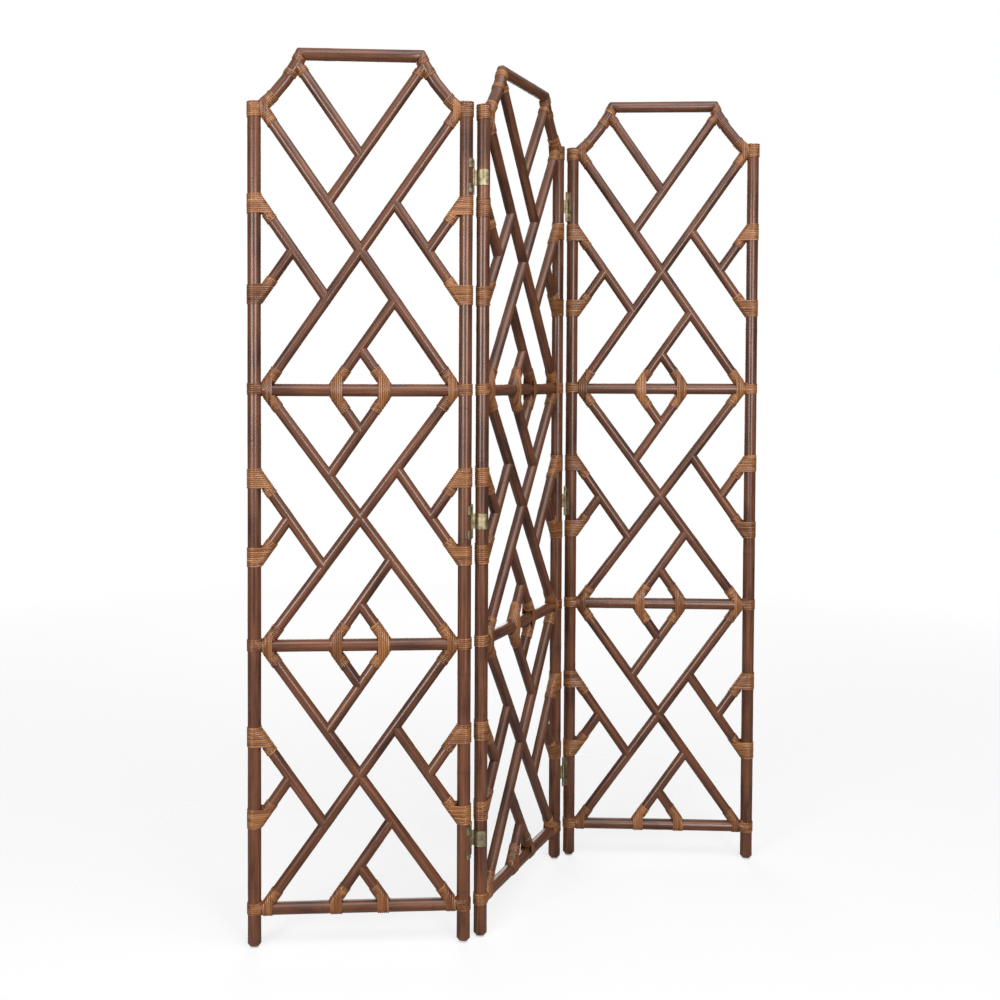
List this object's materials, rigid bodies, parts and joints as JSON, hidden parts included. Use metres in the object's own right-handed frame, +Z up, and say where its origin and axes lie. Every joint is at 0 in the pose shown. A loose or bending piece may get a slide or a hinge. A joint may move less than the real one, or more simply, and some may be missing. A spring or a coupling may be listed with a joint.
{
  "type": "room divider",
  "caption": "Folding room divider: hinged lattice panels of dark rattan poles with shouldered tops, bound with split peel, standing in a zigzag.",
  "frame": {"origin": "on the floor, at the middle of the standing screen's outer box, in the zigzag pose of the picture", "axes": "+Z up; +X to the right as the picture shows it; -Y towards the camera"},
  "size_m": [1.1636, 0.477, 1.83],
  "materials": {
    "rattan_pole": "stained and lacquered, semi-gloss",
    "rattan_peel": "lacquered split peel, glossy",
    "hinge_brass": "plated, lightly worn",
    "screw_steel": "zinc plated",
    "glide_plastic": "matte"
  },
  "bodies": {
    "middle_panel": {"middle_post_left": "rattan_pole", "middle_post_right": "rattan_pole", "middle_arms": "rattan_pole", "middle_top_rail": "rattan_pole", "middle_upper_rail": "rattan_pole", "middle_lower_rail": "rattan_pole", "middle_bottom_rail": "rattan_pole", "middle_through_diagonals": "rattan_pole", "middle_half_diagonals": "rattan_pole", "middle_long_struts": "rattan_pole", "middle_short_struts": "rattan_pole", "middle_side_bindings": "rattan_peel", "middle_rail_bindings": "rattan_peel", "middle_shoulder_bindings": "rattan_peel", "middle_corner_windings": "rattan_peel", "middle_glides": "glide_plastic", "middle_frame_screws": "screw_steel", "left_hinge_middle_leaves": "hinge_brass", "left_hinge_pins": "hinge_brass", "right_hinge_middle_leaves": "hinge_brass", "right_hinge_pins": "hinge_brass", "middle_hinge_screws": "hinge_brass"},
    "left_panel": {"left_post_left": "rattan_pole", "left_post_right": "rattan_pole", "left_arms": "rattan_pole", "left_top_rail": "rattan_pole", "left_upper_rail": "rattan_pole", "left_lower_rail": "rattan_pole", "left_bottom_rail": "rattan_pole", "left_through_diagonals": "rattan_pole", "left_half_diagonals": "rattan_pole", "left_long_struts": "rattan_pole", "left_short_struts": "rattan_pole", "left_side_bindings": "rattan_peel", "left_rail_bindings": "rattan_peel", "left_shoulder_bindings": "rattan_peel", "left_corner_windings": "rattan_peel", "left_glides": "glide_plastic", "left_frame_screws": "screw_steel", "left_hinge_end_leaves": "hinge_brass", "left_hinge_screws": "hinge_brass"},
    "right_panel": {"right_post_left": "rattan_pole", "right_post_right": "rattan_pole", "right_arms": "rattan_pole", "right_top_rail": "rattan_pole", "right_upper_rail": "rattan_pole", "right_lower_rail": "rattan_pole", "right_bottom_rail": "rattan_pole", "right_through_diagonals": "rattan_pole", "right_half_diagonals": "rattan_pole", "right_long_struts": "rattan_pole", "right_short_struts": "rattan_pole", "right_side_bindings": "rattan_peel", "right_rail_bindings": "rattan_peel", "right_shoulder_bindings": "rattan_peel", "right_corner_windings": "rattan_peel", "right_glides": "glide_plastic", "right_frame_screws": "screw_steel", "right_hinge_end_leaves": "hinge_brass", "right_hinge_screws": "hinge_brass"}
  },
  "joints": [
    {"name": "left_fold", "type": "hinge", "parent": "middle_panel", "child": "left_panel", "pos_m": [-0.1229, -0.18387, 0], "axis": [0, 0, -1], "range_deg": [-59, 121]},
    {"name": "right_fold", "type": "hinge", "parent": "middle_panel", "child": "right_panel", "pos_m": [0.12124, 0.20798, 0], "axis": [0, 0, -1], "range_deg": [-65, 115]}
  ]
}
